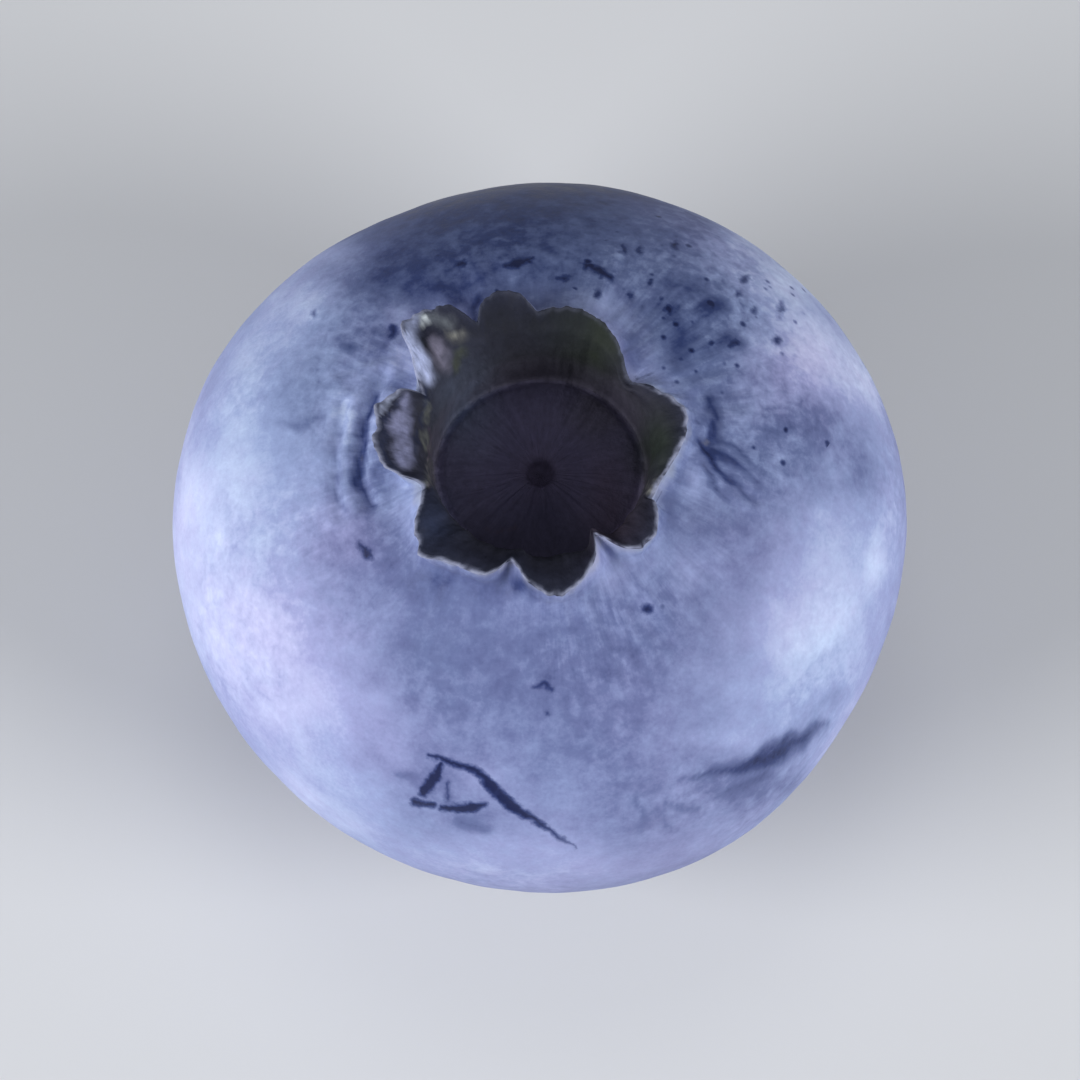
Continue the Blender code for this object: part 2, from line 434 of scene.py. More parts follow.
# patches where the bloom is thicker or thinner, which also paint light and shade
bloomAndPaintedLight = (
    # left side
    # partly thicker bloom and partly painted light, where the light falls on the left side
    (-8.8, 0.0, 2.3, 4.3, 0.25),
    (-7.7, 2.1, 1.2, 1.8, -0.07),
    (-7.9, 5.0, 1.0, 1.2, 0.11),
    (-6.5, 6.8, 1.5, 1.0, 0.23),
    (-8.7, 0.2, 0.3, 0.6, 0.08),
    (-6.8, 5.5, 0.5, 0.4, 0.07),
    (-7.2, 4.3, 0.6, 0.6, -0.05),
    (-8.2, 5.0, 0.6, 0.8, 0.07),
    (-7.0, -2.8, 0.8, 0.8, 0.05),
    (-5.3, -2.9, 0.5, 0.5, 0.08),
    (-6.9, 4.0, 0.9, 0.7, -0.06),
    (-5.1, 5.5, 0.7, 0.6, -0.08),
    (-5.3, 3.4, 0.5, 0.9, 0.16),
    (-6.0, -0.3, 0.6, 0.7, -0.1),
    # right side
    # partly thicker bloom and partly painted light, where the light falls on the right side
    (7.7, -2.4, 1.8, 3.4, 0.21),
    (5.4, -4.0, 1.5, 1.8, 0.12),
    (6.2, 1.0, 0.9, 0.8, -0.06),
    (8.0, 0.6, 0.7, 0.5, 0.08),
    (9.3, -0.2, 0.4, 0.9, 0.12),
    (5.6, -0.7, 1.6, 1.4, -0.09),
    (8.9, 1.9, 0.5, 0.8, -0.18),
    (9.2, -1.0, 0.3, 0.7, 0.1),
    (8.0, 3.3, 1.8, 1.0, -0.17),
    (8.8, 4.2, 0.8, 1.3, 0.24),
    (7.4, 5.4, 1.1, 1.4, 0.18),
    (6.5, 4.4, 0.5, 0.5, -0.1),
    (6.9, 6.8, 0.8, 0.6, 0.15),
    (6.8, 7.3, 1.3, 0.6, 0.16),
    (7.7, 5.0, 0.7, 0.9, 0.08),
    (5.7, 5.1, 0.5, 0.4, 0.1),
    (5.5, 2.4, 0.4, 0.4, 0.12),
    (6.5, -2.8, 0.7, 1.2, 0.06),
    (5.4, 2.2, 1.5, 1.0, -0.1),
    (5.6, 3.2, 0.6, 0.6, 0.08),
    # the front
    (-6.3, -5.4, 1.5, 1.8, 0.13),
    (-5.8, -7.0, 1.4, 0.9, 0.08),
    (-4.6, -8.2, 3.6, 1.6, 0.11),
    (0.0, -9.2, 2.6, 0.8, 0.06),
    (-2.9, -6.8, 1.0, 0.8, -0.1),
    (-1.8, -7.7, 0.8, 0.5, -0.15),
    (1.0, -6.6, 1.5, 0.9, -0.1),
    (2.2, -8.3, 1.0, 0.6, -0.08),
    (5.9, -6.6, 1.6, 0.6, -0.2),
    (5.2, -5.5, 1.2, 0.3, 0.08),
    (-3.4, -3.4, 0.8, 0.8, -0.05),
    (-1.8, -6.4, 0.6, 0.3, 0.08),
    # partly thinner bloom and partly painted shade over the middle at the front
    (-0.2, -3.4, 4.4, 3.6, -0.18),
    (-1.0, -3.0, 1.5, 1.5, 0.08),
    (0.2, -2.1, 1.8, 0.4, 0.07),
    (2.4, -3.7, 1.8, 1.5, -0.12),
    (4.7, -4.8, 1.4, 0.9, -0.06),
    (-1.8, -5.0, 2.0, 0.4, 0.06),
    # behind the crown
    (-4.6, 7.4, 1.5, 0.8, -0.16),
    (-5.6, 7.9, 1.2, 0.5, 0.26),
    (5.6, 7.7, 2.0, 0.8, 0.13),
    (3.4, 9.1, 1.6, 0.4, 0.14),
    (5.5, 8.3, 1.3, 0.5, 0.24),
    # partly thinner bloom and partly painted shade over the far side behind the crown
    (-0.9, 9.2, 6.0, 2.4, -0.46),
    (2.4, 8.2, 1.6, 0.8, 0.12),
    (-3.2, 7.2, 1.4, 0.8, -0.07),
    (-2.3, 6.8, 0.8, 0.4, -0.2),
    (1.5, 6.5, 0.7, 0.35, 0.2),
    (3.2, 6.4, 0.6, 0.5, -0.1),
    # round the crown
    (2.5, 4.8, 0.35, 0.5, -0.3),
    (2.5, 5.5, 0.3, 0.4, -0.2),
    (-3.8, 6.2, 0.4, 0.35, 0.2),
    (-4.3, 5.2, 0.3, 0.5, -0.2),
    (-3.85, 4.95, 0.4, 0.4, 0.15),
    (-3.75, 4.3, 0.4, 0.3, -0.24),
    (-4.45, 1.7, 0.3, 0.9, -0.16),
    (-4.8, 0.6, 1.4, 1.7, -0.11),
    (-3.75, 0.8, 0.4, 0.8, 0.1),
    (-2.9, -1.2, 1.4, 0.7, -0.14),
    (0.8, -1.5, 1.7, 0.8, -0.08),
    (-0.45, -1.2, 0.35, 0.25, -0.34),
    (-3.9, 0.2, 0.4, 0.9, -0.08),
    (-2.8, -1.0, 0.4, 0.3, -0.12),
    (0.6, -1.6, 0.4, 0.3, 0.08),
    (1.9, -1.1, 0.4, 0.4, 0.1),
    (4.1, -0.8, 0.5, 0.5, 0.1),
    (3.5, 0.9, 0.35, 0.8, -0.14),
    (4.3, 0.8, 1.0, 1.2, -0.07),
    (4.3, 1.5, 0.25, 0.4, 0.14),
    (3.75, 1.8, 0.3, 0.4, -0.2),
    (4.5, 3.0, 0.6, 0.6, -0.14),
    (4.3, 5.4, 1.3, 2.0, -0.25),
)

# the wax bloom: how thick it lies, from 0, bare skin, to 1
bloom = {
    "usual": 0.66,
    "underneath": -0.2,  # what changes there, and the heights between which that fades out
    "underneathTo": (0.2, 2.5),
    "besideEdge": 0.1,  # it gathers along the crown's edge
    "besideEdgeWidth": 0.35,
    "shadeBehind": 0.7,  # but less at the back, further up than this as seen, which is painted shade
    "behind": 5.2,
    "blotch": 0.09,  # uneven over a few mm
    "blotchSize": 3.5,
}

# soft rubs in the bloom: how bare, how soft their edges are, and the lines that they run along, as mm right
# and up as seen and half the width there
rubs = (
    (0.2, 0.2,
        ((-2.2, -7.77, 0.1), (-1.52, -7.95, 0.12)),
        ((-3.9, -6.45, 0.06), (-3.5, -6.47, 0.06)),
        ((2.6, -7.1, 0.02), (2.9, -7.6, 0.05), (2.8, -8.1, 0.02)),
        ((3.2, -7.5, 0.02), (3.6, -8.0, 0.04)),
        ((3.46, -7.3, 0.03), (4.27, -7.45, 0.06)),
        ((5.16, -6.93, 0.03), (6.2, -6.4, 0.06)),
        ((4.8, 2.75, 0.03), (5.5, 2.35, 0.05), (6.2, 1.8, 0.0)),
        ((-7.15, 3.25, 0.02), (-6.6, 3.15, 0.1), (-6.15, 3.45, 0.04)),
        ((6.1, 3.05, 0.02), (6.95, 3.02, 0.06)),
    ),
    (0.2, 0.16, ((-5.45, 3.1, 0.0), (-5.62, 2.2, 0.05), (-5.6, 1.25, 0.05), (-5.4, 0.6, 0.0))),
    (0.36, 0.16,
        ((3.83, -6.56, -0.04), (4.5, -6.5, 0.03), (5.23, -6.32, 0.08), (5.97, -6.08, 0.16)),
        ((4.7, 4.0, 0.06), (4.9, 3.4, 0.09), (4.6, 2.75, 0.1), (4.9, 2.2, 0.04)),
        ((-5.5, 5.35, 0.02), (-5.1, 5.25, 0.05)),
    ),
    (0.6, 0.15,
        ((-4.45, 4.15, 0.0), (-4.6, 3.85, 0.07), (-4.82, 3.3, 0.11), (-4.96, 2.6, 0.12),
         (-5.02, 1.7, 0.09), (-4.7, 1.0, 0.0)),
    ),
    (0.6, 0.2, ((4.3, 2.8, 0.0), (4.52, 2.5, 0.13), (4.8, 2.05, 0.1), (5.1, 1.75, -0.04))),
    (0.46, 0.13,
        ((4.6, 2.6, 0.0), (5.0, 2.3, 0.05), (5.45, 2.0, 0.05), (5.95, 1.5, -0.03)),
        ((4.7, 2.15, 0.02), (5.3, 1.65, 0.05), (5.8, 1.15, -0.03)),
        ((4.45, 2.1, 0.02), (4.7, 1.6, 0.04), (5.1, 1.05, -0.03)),
        ((4.9, 2.75, -0.03), (5.4, 2.5, 0.02), (5.85, 2.15, -0.03)),
    ),
    (0.2, 0.4, ((3.75, 6.3, 0.05), (3.85, 5.7, 0.22), (3.8, 5.1, 0.12), (3.85, 4.7, 0.0))),
    (0.66, 0.34,
        ((5.0, -6.35, -0.1), (6.0, -6.02, 0.12), (6.57, -5.75, 0.24), (7.16, -5.45, 0.18),
         (7.8, -5.05, 0.0)),
    ),
    (0.4, 0.15, ((-1.76, 5.9, 0.05), (-1.84, 6.3, 0.1), (-1.7, 6.6, 0.04))),
    (0.4, 0.3,
        ((4.5, 6.5, 0.12), (4.95, 6.45, 0.12)),
        ((5.1, 5.45, 0.1), (5.5, 5.4, 0.12)),
    ),
    (0.22, 0.35, ((3.6, 7.1, 0.05), (4.3, 6.95, 0.12))),
    # a faint, soft darker band low on the right side
    (0.18, 0.4, ((7.16, -5.08, 0.12), (8.19, -4.19, 0.12))),
)

# the same on the far side, seen from there
backRubs = (
    (0.5, 0.14,
        ((-5.2, 2.6, -0.02), (-4.1, 2.1, 0.08), (-3.2, 1.1, 0.12), (-2.6, -0.2, 0.05), (-2.4, -1.2, -0.05)),
        ((4.6, -2.2, 0.06), (5.2, -2.6, 0.1)),
        ((1.2, 4.2, 0.07), (1.3, 4.2, 0.07)),
    ),
    (0.3, 0.3,
        ((2.2, -3.2, 0.1), (3.4, -2.4, 0.3), (4.6, -1.2, 0.15)),
        ((-1.0, -4.6, 0.1), (0.6, -4.9, 0.2)),
        ((-7.4, -1.0, 0.2), (-7.0, 0.8, 0.1)),
    ),
)

# where small bare specks gather, as patches of how many there are
specks = (
    (2.2, 7.5, 1.5, 0.9, 0.9),
    (6.0, 6.2, 1.2, 1.2, 0.8),
    (-1.2, 7.6, 1.6, 0.7, 0.5),
    (2.3, -1.3, 0.9, 0.7, 0.5),
    (4.3, 5.2, 1.2, 1.6, 0.5),
    (6.6, 3.0, 1.5, 1.0, 0.35),
)

# where the bloom is scuffed, and where it is cooler (above 0) or more lilac (below 0) than elsewhere
scuffs = (
    (6.2, 3.0, 2.4, 2.2, 1.0),
    (2.0, 7.8, 3.4, 1.3, 1.0),
    (5.4, 6.3, 1.8, 1.5, 1.0),
    (-4.9, 5.8, 1.8, 1.3, 0.8),
    (-5.4, 3.0, 1.6, 1.8, 0.9),
    (-4.4, 0.2, 2.0, 1.4, 0.5),
    (4.2, -7.0, 1.6, 1.0, 0.6),
    (1.0, -3.4, 4.0, 2.4, 0.1),
)
hues = (
    (-6.4, 4.4, 2.4, 2.6, 0.8),
    (4.6, 5.6, 1.7, 1.6, 1.0),
    (0.0, 8.4, 5.0, 2.0, 0.7),
    (6.2, 2.0, 2.0, 2.0, 0.3),
    (-5.3, 0.0, 1.1, 0.9, -0.9),
    (-7.6, -3.2, 2.2, 2.8, -0.4),
    (7.0, 4.6, 1.0, 1.0, -0.5),
)


def bloomField():
    field = bloom["usual"] + patches(bloomAndPaintedLight)
    field += bloom["underneath"] * (1 - smoothStep(places[..., 2], *bloom["underneathTo"]))
    gathered = np.maximum(0.6 + 1.2 * noiseField(onCircle(degrees), 0.35, seed=13), 0)
    beside = np.exp(-((fromEdge / bloom["besideEdgeWidth"]) ** 2))
    beside *= 1 - bloom["shadeBehind"] * (seenUp > bloom["behind"])
    field += bloom["besideEdge"] * gathered * beside
    return field + bloom["blotch"] * noiseField(places, bloom["blotchSize"], octaves=4, seed=1)


# small uneven places in the surface itself, in mm
relief = {
    # how high, in blotches of what size, in how many octaves, and the noise's seed
    "lumps": (0.06, 3.4, 2, 2),
    "dimples": (0.012, 0.9, 2, 3),
    "wrinkles": (0.04, 0.5, 3, 24),  # on the teeth
    "fibres": (0.06, 0.28, 3, 8),  # in the scar
    # folds and scratches in the skin: how deep, how wide, and where each runs as seen
    "folds": (
        (0.13, 0.2, ((-4.3, 4.5, 0), (-4.82, 3.4, 0), (-4.98, 2.5, 0), (-5.02, 1.7, 0), (-4.7, 1.0, 0))),
        (0.07, 0.16, ((-5.35, 3.7, 0), (-5.6, 2.6, 0), (-5.65, 1.6, 0), (-5.5, 0.7, 0))),
        (0.04, 0.14, ((-4.3, 5.0, 0), (-4.9, 4.9, 0), (-5.5, 4.6, 0))),
        (0.05, 0.2, ((4.4, 3.9, 0), (4.75, 3.2, 0), (4.7, 2.6, 0))),
        (0.06, 0.14, ((4.3, 2.8, 0), (4.6, 2.4, 0), (5.3, 1.6, 0), (5.9, 1.1, 0))),
        (0.04, 0.12, ((4.5, 2.7, 0), (5.1, 2.15, 0), (5.9, 1.5, 0))),
        (0.03, 0.12, ((-3.04, -5.91, 0), (-1.82, -6.29, 0), (-0.78, -7.32, 0), (0.33, -8.06, 0))),
        (0.03, 0.2, ((4.5, -6.5, 0), (5.97, -6.04, 0), (7.16, -5.45, 0))),
    ),
    "foldRidge": (0.6, 1.8),  # the ridge beside each, as shares of its depth and width
    "spokes": (3.2, 0.12),  # how fine what runs out from the crown is, round it and lengthwise
    "spokeSize": 0.45,
    "puckers": 0.045,  # furrows outside the crown, and how far from its edge they start and end
    "puckersAt": ((0.2, 0.9), (2.0, 4.5)),
    # inside the crown, where 0 is the edge, 1 the groove and 2 the middle of the disc
    "wallRidges": 0.06,
    "wallRidgesFrom": (0.1, 0.4),
    "wrinklesAt": ((0.02, 0.12), (0.3, 0.6)),
    "discFurrows": 0.028,
    "discFurrowsTo": (1.75, 1.95),
    "fibresTo": (0.75, 1.0),  # mm from the scar's middle
}


def unevenBy(high, size, octaves, seed):
    return high * noiseField(places, size, octaves, seed)


def reliefField():
    near = -fromEdge
    outside = (~insideCrown) & (near > 0)
    onScar = (ringNumbers > 0) & (levels < scar["below"])
    folds = np.zeros((ringCount, sides))
    ridge, ridgeAt = relief["foldRidge"]
    for deep, wide, line in relief["folds"]:
        away = (fromLine(seenRight, seenUp, line) + hidden) / wide
        folds += deep * (ridge * np.exp(-((away - ridgeAt) ** 2)) - np.exp(-(away**2)))
    fine, lengthwise = relief["spokes"]
    spokes = fine * onCircle(degrees) + lengthwise * near[..., None] * np.array([0, 0, 1])
    spokeNoise = noiseField(spokes, relief["spokeSize"], seed=6)
    puckers = relief["puckers"] * spokeNoise * softBand(near, *relief["puckersAt"])
    ridges = relief["wallRidges"] * spokeNoise * smoothStep(cupPlace, *relief["wallRidgesFrom"])
    wrinkles = unevenBy(*relief["wrinkles"]) * softBand(cupPlace, *relief["wrinklesAt"])
    furrows = relief["discFurrows"] * spokeNoise * (1 - smoothStep(cupPlace, *relief["discFurrowsTo"]))
    fibres = unevenBy(*relief["fibres"]) * onScar * (1 - smoothStep(radii, *relief["fibresTo"]))
    lumpy = unevenBy(*relief["lumps"]) + unevenBy(*relief["dimples"])
    skin = np.where(outside, lumpy * upperSide + folds + puckers, 0.0)
    inside = np.where(cupPlace > 1, furrows, ridges) + wrinkles
    return skin + np.where(insideCrown, inside, 0.0) + fibres


# pale and dark pieces on the teeth and the disc: colour, how soft, and the lines they run along as seen
pieces = (
    ((0.19, 0.2, 0.33), 0.18, ((-3.72, 3.85, 0.12), (-3.84, 3.1, 0.28), (-3.66, 2.25, 0.22))),
    # dark lines on the left tooth; the outer one is partly its dark margin and partly painted shadow under
    # its lifted edge
    ((0.016, 0.022, 0.055), 0.08,
        ((-3.85, 3.9, 0.05), (-4.22, 3.2, 0.07), (-4.36, 2.6, 0.07), (-4.2, 2.1, 0.05),
         (-3.84, 1.8, 0.04)),
        ((-3.1, 4.2, 0.06), (-3.24, 3.14, 0.03), (-3.42, 2.2, 0.0)),
    ),
    ((0.18, 0.17, 0.24), 0.26, ((-2.95, 5.45, 0.08), (-2.72, 5.1, 0.22), (-2.6, 4.8, 0.08))),
    ((0.05, 0.058, 0.05), 0.12, ((-2.1, 5.2, 0.1), (-2.35, 4.7, 0.14))),
    ((0.27, 0.3, 0.42), 0.1,
        ((-3.85, 4.2, 0.03), (-4.2, 3.9, 0.07), (-4.45, 3.5, 0.06), (-4.55, 3.1, 0.02)),
    ),
    ((0.1, 0.112, 0.13), 0.2, ((-3.0, 6.12, 0.12), (-2.5, 5.98, 0.14))),
    ((0.42, 0.475, 0.72), 0.16,
        ((-3.45, 6.1, 0.1), (-3.62, 5.75, 0.16), (-3.55, 5.2, 0.28), (-3.32, 4.8, 0.32),
         (-3.0, 4.45, 0.14)),
    ),
    ((0.62, 0.68, 0.72), 0.09, ((-3.3, 5.9, 0.05), (-3.22, 6.08, 0.06), (-3.12, 6.02, 0.07))),
    ((0.19, 0.19, 0.175), 0.16,
        ((-2.45, 5.6, 0.08), (-2.15, 5.66, 0.08)),
        ((3.12, 1.36, 0.1), (3.22, 1.46, 0.08)),
    ),
    ((0.098, 0.104, 0.098), 0.1,
        ((-3.1, 3.8, 0.03), (-3.12, 3.3, 0.06)),
        ((-3.14, 2.95, 0.03), (-3.1, 2.5, 0.08)),
        ((-3.04, 2.15, 0.04), (-3.06, 1.5, 0.06)),
    ),
    # a near-black piece on the upper-left tooth, which is painted shadow
    ((0.008, 0.01, 0.018), 0.07, ((-3.26, 5.6, 0.08), (-3.12, 5.3, 0.05))),
    ((0.07, 0.052, 0.08), 0.06,
        ((-1.45, 0.26, 0.02), (-0.66, 0.28, 0.02)),
        ((-3.0, 3.1, 0.0), (-3.05, 2.2, 0.02), (-3.0, 1.4, 0.0)),
    ),
)

# colours of the crown's inside and of the scar, which have no bloom
dryFinish = {
    # from the edge, down the wall to the groove, and over the disc to its middle
    "cupStops": (0.0, 0.24, 0.64, 0.94, 1.12, 1.6, 1.9, 2.0),
    "cupColours": (
        (0.024, 0.028, 0.052),
        (0.013, 0.014, 0.027),
        (0.026, 0.026, 0.036),
        (0.07, 0.064, 0.094),
        (0.062, 0.057, 0.104),
        (0.047, 0.042, 0.083),
        (0.05, 0.042, 0.08),
        (0.05, 0.042, 0.08),
    ),
    "paintedGrooveLight": 2.0,  # how much paler the groove is painted, as painted light that lifts its shadow, where it is, and how wide
    "grooveAt": 1.03,
    "grooveWidth": 0.06,
    "edge": (0.27, 0.29, 0.41),
    # how much darker the edge is painted at the back, as painted shade, from where, and left of where it
    # stays pale, as seen
    "edgeDarker": 0.85,
    "edgeDarkerFrom": (3.6, 4.8),
    "edgePaleTo": -3.0,
    "papery": 0.6,  # how papery the skin is beside the edge, and over what width
    "paperyFrom": (-0.4, 0.0),
    "streaks": 0.32,
    "grain": 0.35,
    "roughness": 0.72,
    "shader": {"Specular IOR Level": 0.15},
    # soft stains, where each lies as seen, how big it is and how much of it shows
    "stains": (
        ((0.01, 0.012, 0.017), (0.4, 6.1, 1.8, 0.7, 0.9)),
        ((0.018, 0.024, 0.016), (1.6, 5.3, 0.9, 0.8, 0.9)),
        ((0.016, 0.022, 0.018), (3.1, 2.6, 0.6, 0.9, 0.8)),
        # this grey-blue patch on the left wall is partly its own colour and partly painted light in the
        # shaded cup
        ((0.078, 0.096, 0.15), (-2.0, 3.7, 0.8, 1.1, 0.7)),
        ((0.05, 0.046, 0.07), (1.7, 3.5, 1.0, 0.8, 0.8)),
        ((0.05, 0.032, 0.052), (1.9, 0.9, 0.8, 1.2, 0.5)),
        ((0.03, 0.04, 0.085), (-2.9, 0.3, 0.6, 1.1, 0.6)),
    ),
    # from the middle of the scar outwards, in mm
    "scarStops": (0.0, 0.3, 0.6, 0.95, 1.3),
    "scarColours": (
        (0.05, 0.032, 0.02),
        (0.13, 0.085, 0.05),
        (0.22, 0.15, 0.085),
        (0.12, 0.07, 0.05),
        (0.045, 0.028, 0.04),
    ),
}


# the crown's edge is pale at the front, partly as a painted highlight, and painted shade at the back makes
# it nearly as dark as its inside
shadedBackEdge = smoothStep(seenUp, *dryFinish["edgeDarkerFrom"]) * (seenRight > dryFinish["edgePaleTo"])
litFrontEdge = 1 - dryFinish["edgeDarker"] * shadedBackEdge
# the papery skin beside the edge is pale at the front and faded at the back in the same way, partly painted
# highlight and shade
paperyMap = smoothStep(fromEdge + 0.2 * noiseField(places, 0.5, seed=26), *dryFinish["paperyFrom"])
paperyMap = dryFinish["papery"] * paperyMap * litFrontEdge


def mixed(first, second, share):
    return first + (np.array(second) - first) * share[..., None]


def banded(value, stops, colours):
    # the colour at each place, between the colours at the stops
    bands = [np.interp(value, stops, band) for band in np.transpose(colours)]
    return np.stack(bands, axis=-1)


def paintField():
    wandering = cupPlace + 0.03 * noiseField(places, 0.5, seed=14)
    paint = banded(wandering, dryFinish["cupStops"], dryFinish["cupColours"])
    patchy = noiseField(places, 1.6, octaves=4, seed=15)
    fine = noiseField(places, 0.22, seed=20)
    right = seenRight + 0.12 * noiseField(places, 0.5, seed=16) + 0.08 * fine
    up = seenUp + 0.12 * noiseField(places, 0.5, seed=17) - 0.08 * fine
    for colour, stain in dryFinish["stains"]:
        paint = mixed(paint, colour, np.clip(patches([stain]) * (1 + 0.8 * patchy), 0, 1))
    # painted light: the groove, which is in shadow, is painted paler
    paintedGrooveLight = np.exp(-(((cupPlace - dryFinish["grooveAt"]) / dryFinish["grooveWidth"]) ** 2))
    paint = paint * (1 + dryFinish["paintedGrooveLight"] * paintedGrooveLight)[..., None]
    for colour, soft, *lines in pieces:
        for line in lines:
            share = 1 - smoothStep(fromLine(right, up, line) + hidden, -soft, soft)
            paint = mixed(paint, colour, share * np.clip(0.85 + 0.7 * fine, 0, 1))
    torn = noiseField(places, 0.3, seed=18)
    pale = (1 - smoothStep(fromEdge + 0.08 * torn, 0.04, 0.18)) * np.clip(0.75 + 1.2 * torn, 0, 1)
    paint = mixed(paint, dryFinish["edge"], pale * litFrontEdge)
    wandering = radii + 0.12 * noiseField(places, 0.25, seed=19)
    under = banded(wandering, dryFinish["scarStops"], dryFinish["scarColours"])
    return np.where((levels < scar["below"])[..., None], under, paint)


farRubs = rubbedAway(backRight, backUp, backHidden, backRubs)
farSpecks = 0.4 * smoothStep(noiseField(places, 4.0, octaves=2, seed=9), 0.2, 0.6) * (1 - inSight)
moreScuffs = 0.4 * smoothStep(noiseField(places, 4.0, octaves=2, seed=21), 0.0, 0.5)

# what the materials read at each place
surfaceMaps = {
    "bloom": bloomField(),
    "specks": patches(specks) + farSpecks,
    "rubbed": rubbedAway(seenRight, seenUp, hidden, rubs) + farRubs,
    "scuffed": 0.1 + patches(scuffs) + moreScuffs,
    "hue": patches(hues) + 0.5 * noiseField(places, 4.5, octaves=2, seed=22),
    "papery": paperyMap,
    "seenRight": seenRight,
    "seenUp": seenUp,
    "hidden": hidden,
    "fromEdge": fromEdge,
    "paint": paintField(),
}
places = places + outward * reliefField()[..., None]
print("surface: bloom, specks and relief laid out")


# the berry


def addObject(name, data):
    made = bpy.data.objects.new(name, data)
    bpy.context.scene.collection.objects.link(made)
    return made


def makeBerry():
    inner = places[1:-1].reshape(-1, 3)
    points = np.concatenate([[places[0, 0]], inner, [places[-1, 0]]]) * mm
    rings = ringCount - 2
    top = len(points) - 1
    following = [(side + 1) % sides for side in range(sides)]
    faces = [(0, 1 + after, 1 + side) for side, after in enumerate(following)]
    for ring in range(rings - 1):
        low = 1 + ring * sides
        high = low + sides
        for side, after in enumerate(following):
            faces.append((low + side, low + after, high + after, high + side))
    last = 1 + (rings - 1) * sides
    faces += [(last + side, last + after, top) for side, after in enumerate(following)]
    data = bpy.data.meshes.new("blueberry_fruit")
    data.from_pydata(points.tolist(), [], faces)
    data.shade_smooth()
    return addObject("blueberry_fruit", data)


def keepOnSurface(made, name, field):
    # stores a value or a colour for each point of the mesh, for the material to read
    kind, part = ("FLOAT_COLOR", "color") if field.ndim == 3 else ("FLOAT", "value")
    if field.ndim == 3:
        field = np.concatenate([field, np.ones((ringCount, sides, 1))], axis=-1)
    inner = field[1:-1].reshape(-1, *field.shape[2:])
    values = np.concatenate([field[:1, 0], inner, field[-1:, 0]]).astype(np.float32)
    made.data.attributes.new(name, kind, "POINT").data.foreach_set(part, values.ravel())


berry = makeBerry()
for mapName, surfaceMap in surfaceMaps.items():
    keepOnSurface(berry, mapName, surfaceMap)
print("berry:", len(berry.data.polygons), "faces")


# its finish

# colours from the bare skin up to the thickest bloom
skinFinish = {
    "bloomColours": (
        (0.0, (0.008, 0.013, 0.06)),
        (0.25, (0.032, 0.047, 0.15)),
        (0.5, (0.125, 0.15, 0.31)),
        (0.75, (0.3, 0.34, 0.58)),
        (1.0, (0.6, 0.65, 0.88)),
    ),
    "cool": (0.92, 1.02, 1.0),  # what the colours are multiplied by where the bloom is cool
    "lilac": (1.07, 0.98, 1.01),
    "papery": (0.33, 0.34, 0.43),  # beside the crown's edge
    # how uneven the bloom is: in patches, in grain, mottled where it is thick and where it is thin
    "patchy": 0.12,
    "grain": 0.06,
    "mottled": (0.06, 0.3),
    "streaks": 0.09,  # running out from the crown, and how far from its edge they fade in
    "streaksFrom": (-6.5, -1.5),
    "scuffStreaks": 0.17,
    "scuffGrain": 0.22,
    "speckSpacing": 0.4,
    "speckBare": 0.45,  # how much of the bloom a speck takes off
    "bareRoughness": 0.42,
    "bloomRoughness": 0.72,
    "shader": {
        "Sheen Weight": 0.05,
        "Sheen Roughness": 0.45,
        "Sheen Tint": (0.75, 0.8, 1.0, 1.0),
        "Specular IOR Level": 0.22,
    },
}

# crisp scratches and specks in the bloom, laid out as the rubs are
marks = (
    (0.62, 0.1,
        ((-3.04, -5.91, 0.03), (-1.82, -6.29, 0.09), (-1.3, -6.8, 0.14), (-0.78, -7.32, 0.15),
         (-0.19, -7.69, 0.08), (0.99, -8.47, -0.02)),
        ((-2.71, -6.17, 0.05), (-2.89, -6.51, 0.14), (-3.19, -6.88, 0.13)),
        ((-3.45, -7.21, 0.08), (-2.93, -7.28, 0.06)),
        ((-2.71, -7.36, 0.06), (-2.04, -7.38, 0.13), (-1.52, -7.28, 0.05)),
    ),
    (0.36, 0.1,
        ((-2.55, -6.69, 0.03), (-2.52, -7.14, 0.05)),
        ((-0.2, -4.05, 0.02), (0.1, -3.94, 0.07), (0.33, -4.12, 0.04)),
        ((0.2, -4.76, 0.05),),
        ((-6.21, 6.22, 0.07),),
    ),
    (0.5, 0.11,
        ((1.27, 7.54, 0.07),),
        ((1.3, 7.56, 0.03), (1.6, 7.4, 0.09), (1.95, 7.18, 0.07)),
        ((0.7, 7.22, 0.08),),
        ((1.58, 6.73, 0.09),),
        ((2.46, 6.73, 0.07),),
        ((2.72, 7.97, 0.07),),
        ((3.72, 8.08, 0.08),),
        ((2.26, 8.1, 0.02), (2.34, 7.95, 0.04)),
        ((3.02, 7.08, 0.05),),
        ((3.55, 6.29, 0.06),),
        ((-0.95, 7.52, 0.01), (-0.65, 7.6, 0.09), (-0.2, 7.74, 0.01)),
        ((-2.3, 7.56, 0.0), (-2.1, 7.6, 0.07)),
        ((5.64, 7.18, 0.1),),
        ((5.47, 6.75, 0.05),),
        ((4.78, 6.47, 0.1),),
        ((5.89, 6.33, 0.06),),
        ((6.62, 6.5, 0.04), (6.64, 6.3, 0.06)),
        ((6.53, 5.5, 0.1),),
        ((5.2, 5.35, 0.08), (5.42, 5.42, 0.12)),
        ((3.53, 6.33, 0.08),),
        ((2.95, -1.9, 0.12),),
        ((-4.95, -0.1, 0.03), (-4.72, -0.42, 0.1)),
        ((-4.06, 5.62, 0.1), (-4.03, 5.8, 0.12)),
    ),
)


def fillIn(tree, node, sockets):
    # what goes into a node's sockets: a number, a colour or another node's output
    for socket, value in sockets.items():
        if isinstance(value, bpy.types.NodeSocket):
            tree.links.new(value, node.inputs[socket])
        else:
            node.inputs[socket].default_value = value


